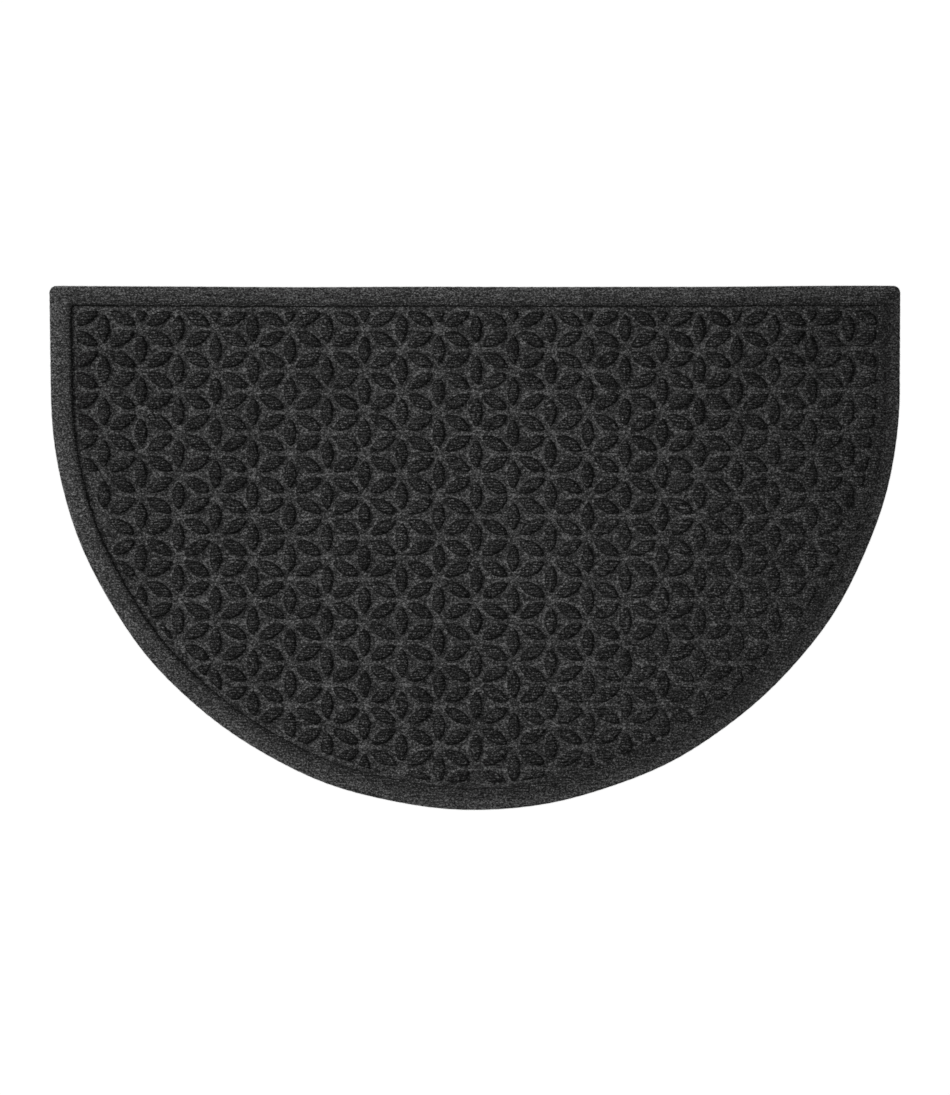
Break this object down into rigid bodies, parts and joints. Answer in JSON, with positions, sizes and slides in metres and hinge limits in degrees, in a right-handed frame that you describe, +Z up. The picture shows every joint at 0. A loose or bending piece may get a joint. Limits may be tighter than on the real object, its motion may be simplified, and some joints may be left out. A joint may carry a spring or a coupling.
{
  "type": "half round doormat",
  "caption": "Half round doormat of moulded charcoal pile, with a raised border round a sunken field of raised petals in an overlapping-circle repeat.",
  "frame": {"origin": "centre of the bounding box on the flat underside, where the mat lies on the floor", "axes": "+X along the straight edge, +Y from the round edge towards the straight edge, +Z up out of the pile"},
  "size_m": [0.9906, 0.6102, 0.009],
  "materials": {
    "charcoal_pile": "dull heathered charcoal moulded pile"
  },
  "bodies": {
    "root": {"mat": "charcoal_pile"}
  },
  "joints": []
}
